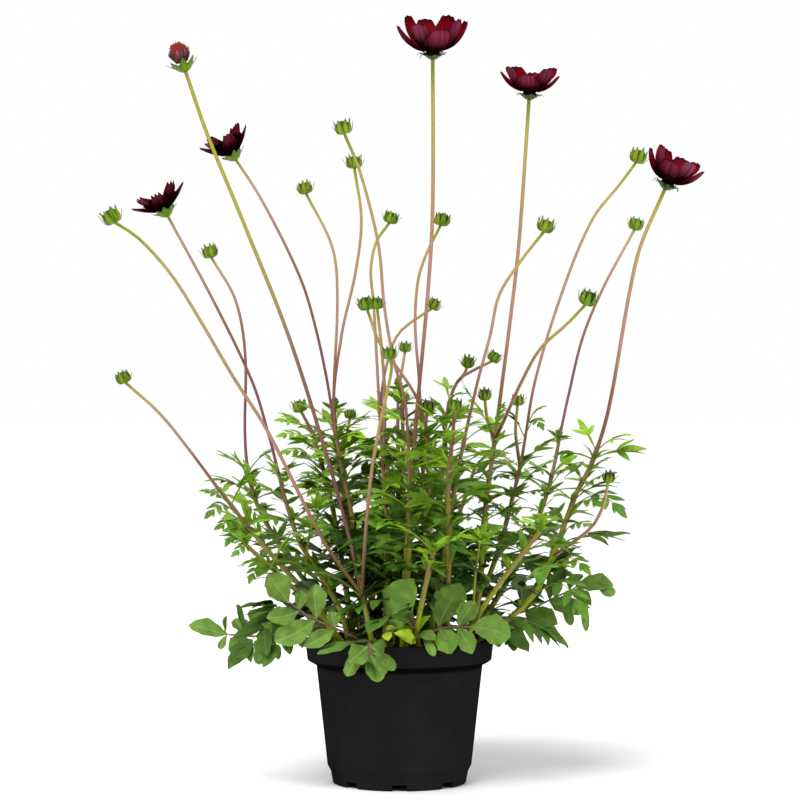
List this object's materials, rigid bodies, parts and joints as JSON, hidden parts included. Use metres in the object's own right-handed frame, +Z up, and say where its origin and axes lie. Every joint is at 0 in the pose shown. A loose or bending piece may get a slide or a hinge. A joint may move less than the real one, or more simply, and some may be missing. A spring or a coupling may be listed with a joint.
{
  "type": "potted chocolate flower",
  "caption": "Clump of dark-red cosmos with pinnate leaves, wiry stalks, open blooms and buds, growing in a round black nursery pot filled with soil.",
  "frame": {"origin": "middle of the pot's foot, on the surface it stands on", "axes": "+Z up, +X to the viewer's right, -Y towards the viewer"},
  "size_m": [0.3983, 0.2913, 0.5189],
  "materials": {
    "pot": "black moulded plastic with a soft sheen",
    "soil": "dark rough potting soil",
    "petal": "velvety, very dark crimson",
    "disc": "grainy dark maroon with tan florets",
    "spent": "dry orange-red florets over purple ones",
    "basal": "satin green leaf with paler veins",
    "yellow": "satin yellow-green leaf",
    "shoot": "satin green stem, red-brown in places"
  },
  "bodies": {
    "root": {"pot": "pot", "soil": "soil", "bloom_1_petals": "petal", "bloom_2_petals": "petal", "bloom_3_petals": "petal", "bloom_4_petals": "petal", "bloom_5_petals": "petal", "bloom_1_disc": "disc", "bloom_2_disc": "disc", "bloom_3_disc": "disc", "bloom_4_disc": "disc", "bloom_5_disc": "disc", "spent_head": "spent", "basal_left": "basal", "basal_left_front": "basal", "basal_front": "basal", "basal_yellow": "yellow", "basal_centre": "basal", "basal_grey": "basal", "basal_right_front": "basal", "basal_right_low": "basal", "basal_right": "basal", "basal_back_1": "basal", "basal_back_2": "basal", "basal_back_3": "basal", "basal_back_4": "basal", "shoot_1": "shoot", "shoot_2": "shoot", "shoot_3": "shoot", "shoot_4": "shoot", "shoot_5": "shoot", "shoot_6": "shoot", "shoot_7": "shoot", "shoot_8": "shoot", "shoot_9": "shoot", "shoot_10": "shoot", "shoot_11": "shoot", "shoot_12": "shoot", "shoot_13": "shoot", "shoot_14": "shoot", "shoot_15": "shoot", "shoot_16": "shoot", "shoot_17": "shoot", "shoot_18": "shoot", "shoot_19": "shoot", "shoot_20": "shoot", "shoot_21": "shoot", "shoot_22": "shoot", "shoot_23": "shoot", "shoot_24": "shoot", "shoot_25": "shoot", "shoot_26": "shoot", "shoot_27": "shoot", "shoot_28": "shoot"}
  },
  "joints": []
}
